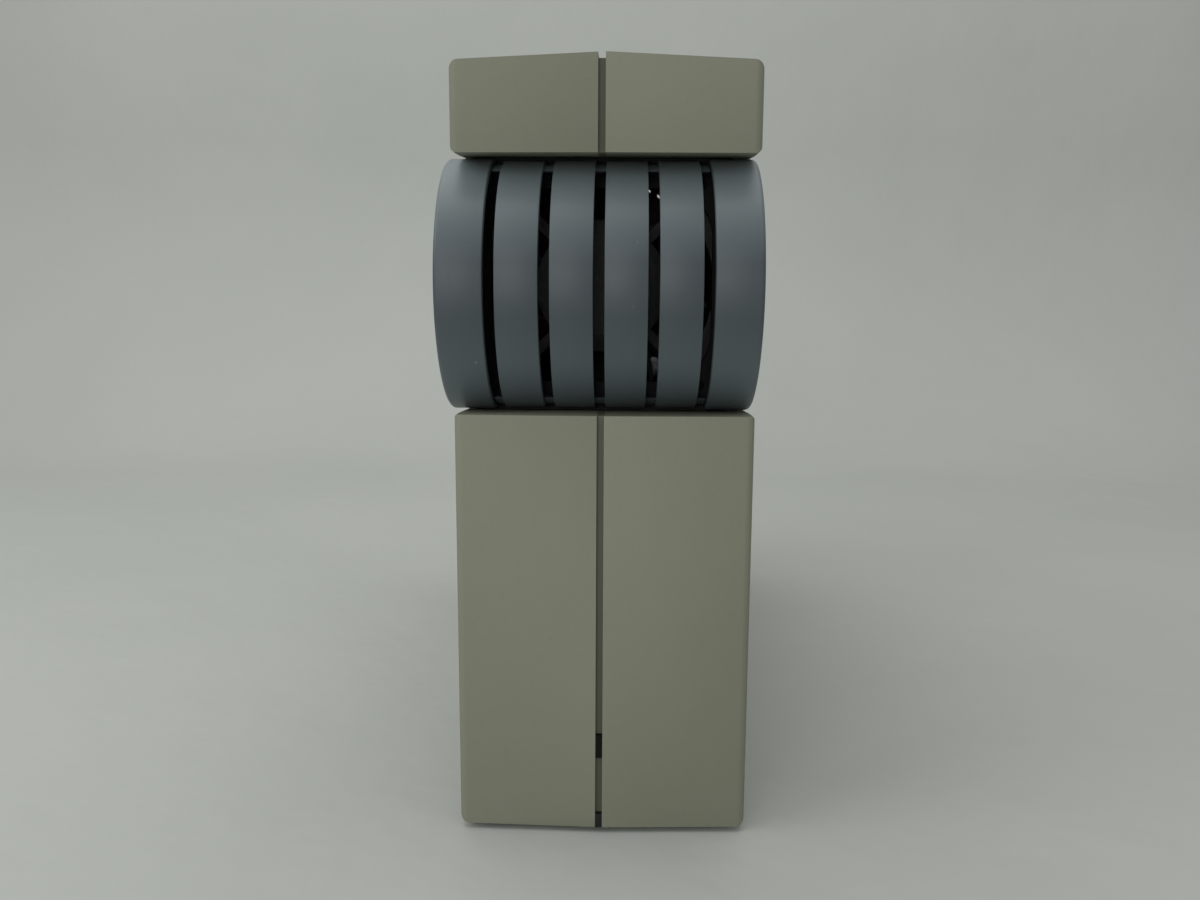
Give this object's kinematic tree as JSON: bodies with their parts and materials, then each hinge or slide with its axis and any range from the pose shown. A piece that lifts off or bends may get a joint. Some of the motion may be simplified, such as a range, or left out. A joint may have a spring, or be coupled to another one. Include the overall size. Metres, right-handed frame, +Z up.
{
  "type": "external hard drive",
  "caption": "Upright external disk drive: two beige shells, a barrel-shaped louvre band over a fan, and a rear panel with ports, power inlet, switch and selector.",
  "frame": {"origin": "centre of the footprint of the whole part, on the plane that its feet stand on", "axes": "+Z up, the front with the louvre band faces -Y, the rear panel faces +Y, +X to the right seen from the front"},
  "size_m": [0.075, 0.2476, 0.1855],
  "materials": {
    "beige_shell": "fine moulded texture",
    "blue_grey_trim": "satin moulded",
    "smoked_lens": "clear smoked",
    "circuit_board": "solder mask over glass fibre",
    "lamp_green": "tinted clear",
    "black_plastic": "moulded",
    "dark_rotor": "moulded",
    "copper_winding": "lacquered winding",
    "zinc_steel": "zinc plated sheet",
    "bright_steel": "bright plated",
    "cast_aluminium": "bead blasted casting",
    "polished_aluminium": "mirror polished",
    "gasket_rubber": "foam rubber",
    "foot_rubber": "matt",
    "white_nylon": "translucent nylon",
    "transformer_core": "varnished ferrite",
    "capacitor_sleeve": "shrunk sleeve",
    "ribbon_grey": "ribbed ribbon",
    "lead_insulation": "insulation",
    "red_insulation": "insulation",
    "panel_paint": "fine texture paint",
    "brass_blade": "plated",
    "grey_key": "moulded"
  },
  "bodies": {
    "enclosure": {"left_shell": "beige_shell", "right_shell": "beige_shell", "louvre_insert": "blue_grey_trim", "left_cheek": "blue_grey_trim", "right_cheek": "blue_grey_trim", "light_pipe": "smoked_lens", "light_board": "circuit_board", "light_lamp": "lamp_green", "light_lead": "red_insulation", "fan_frame": "black_plastic", "fan_motor": "copper_winding", "fan_screws": "zinc_steel", "fan_lead": "red_insulation", "chassis": "zinc_steel", "chassis_screws": "zinc_steel", "drive_base": "cast_aluminium", "drive_gasket": "gasket_rubber", "drive_cover": "zinc_steel", "drive_screws": "bright_steel", "drive_board": "circuit_board", "drive_header": "black_plastic", "drive_power_socket": "white_nylon", "actuator_pivot": "bright_steel", "magnet_yokes": "zinc_steel", "psu_board": "circuit_board", "psu_standoffs": "bright_steel", "psu_transformer": "transformer_core", "psu_choke": "copper_winding", "psu_capacitors": "capacitor_sleeve", "psu_heat_sinks": "cast_aluminium", "psu_terminals": "white_nylon", "port_ribbon": "ribbon_grey", "drive_power_lead": "lead_insulation", "rear_panel": "panel_paint", "panel_screws": "zinc_steel", "port_shells": "bright_steel", "port_inserts": "black_plastic", "power_inlet": "black_plastic", "inlet_blades": "brass_blade", "power_switch": "black_plastic", "selector_body": "black_plastic", "termination_switch": "black_plastic", "feet": "foot_rubber"},
    "fan_rotor_body": {"fan_rotor": "dark_rotor"},
    "platter_stack": {"spindle_hub": "cast_aluminium", "platters": "polished_aluminium", "platter_spacers": "cast_aluminium"},
    "actuator": {"actuator_arm": "cast_aluminium"},
    "bail_a_upper_body": {"bail_a_upper": "bright_steel"},
    "bail_a_lower_body": {"bail_a_lower": "bright_steel"},
    "bail_b_upper_body": {"bail_b_upper": "bright_steel"},
    "bail_b_lower_body": {"bail_b_lower": "bright_steel"},
    "rocker_body": {"power_rocker": "grey_key"},
    "wheel_body": {"selector_wheel": "white_nylon"},
    "plus_button_body": {"selector_plus_button": "grey_key"},
    "minus_button_body": {"selector_minus_button": "grey_key"},
    "slider_body": {"termination_slider": "white_nylon"}
  },
  "joints": [
    {"name": "fan_spin", "type": "hinge", "parent": "enclosure", "child": "fan_rotor_body", "pos_m": [0, -0.08655, 0.1341], "axis": [0, 1, 0], "continuous": true},
    {"name": "spindle_spin", "type": "hinge", "parent": "enclosure", "child": "platter_stack", "pos_m": [0, -0.01475, 0.0565], "axis": [1, 0, 0], "continuous": true},
    {"name": "head_swing", "type": "hinge", "parent": "enclosure", "child": "actuator", "pos_m": [0, 0.04125, 0.0305], "axis": [1, 0, 0], "range_deg": [0, 27]},
    {"name": "bail_a_upper_swing", "type": "hinge", "parent": "enclosure", "child": "bail_a_upper_body", "pos_m": [-0.0145, 0.11595, 0.092], "axis": [1, 0, 0], "range_deg": [0, 150]},
    {"name": "bail_a_lower_swing", "type": "hinge", "parent": "enclosure", "child": "bail_a_lower_body", "pos_m": [-0.0145, 0.11595, 0.023], "axis": [1, 0, 0], "range_deg": [0, 150]},
    {"name": "bail_b_upper_swing", "type": "hinge", "parent": "enclosure", "child": "bail_b_upper_body", "pos_m": [0.0171, 0.11595, 0.092], "axis": [1, 0, 0], "range_deg": [0, 150]},
    {"name": "bail_b_lower_swing", "type": "hinge", "parent": "enclosure", "child": "bail_b_lower_body", "pos_m": [0.0171, 0.11595, 0.023], "axis": [1, 0, 0], "range_deg": [0, 150]},
    {"name": "power_rock", "type": "hinge", "parent": "enclosure", "child": "rocker_body", "pos_m": [0.0203, 0.11125, 0.1475], "axis": [-1, 0, 0], "range_deg": [0, 18]},
    {"name": "wheel_turn", "type": "hinge", "parent": "enclosure", "child": "wheel_body", "pos_m": [0.0203, 0.1068, 0.1205], "axis": [1, 0, 0], "continuous": true},
    {"name": "plus_press", "type": "slide", "parent": "enclosure", "child": "plus_button_body", "axis": [0, -1, 0], "range_m": [0, 0.0012], "stiffness_N_per_m": 600},
    {"name": "minus_press", "type": "slide", "parent": "enclosure", "child": "minus_button_body", "axis": [0, -1, 0], "range_m": [0, 0.0012], "stiffness_N_per_m": 600},
    {"name": "termination_slide", "type": "slide", "parent": "enclosure", "child": "slider_body", "axis": [1, 0, 0], "range_m": [0, 0.005]}
  ]
}
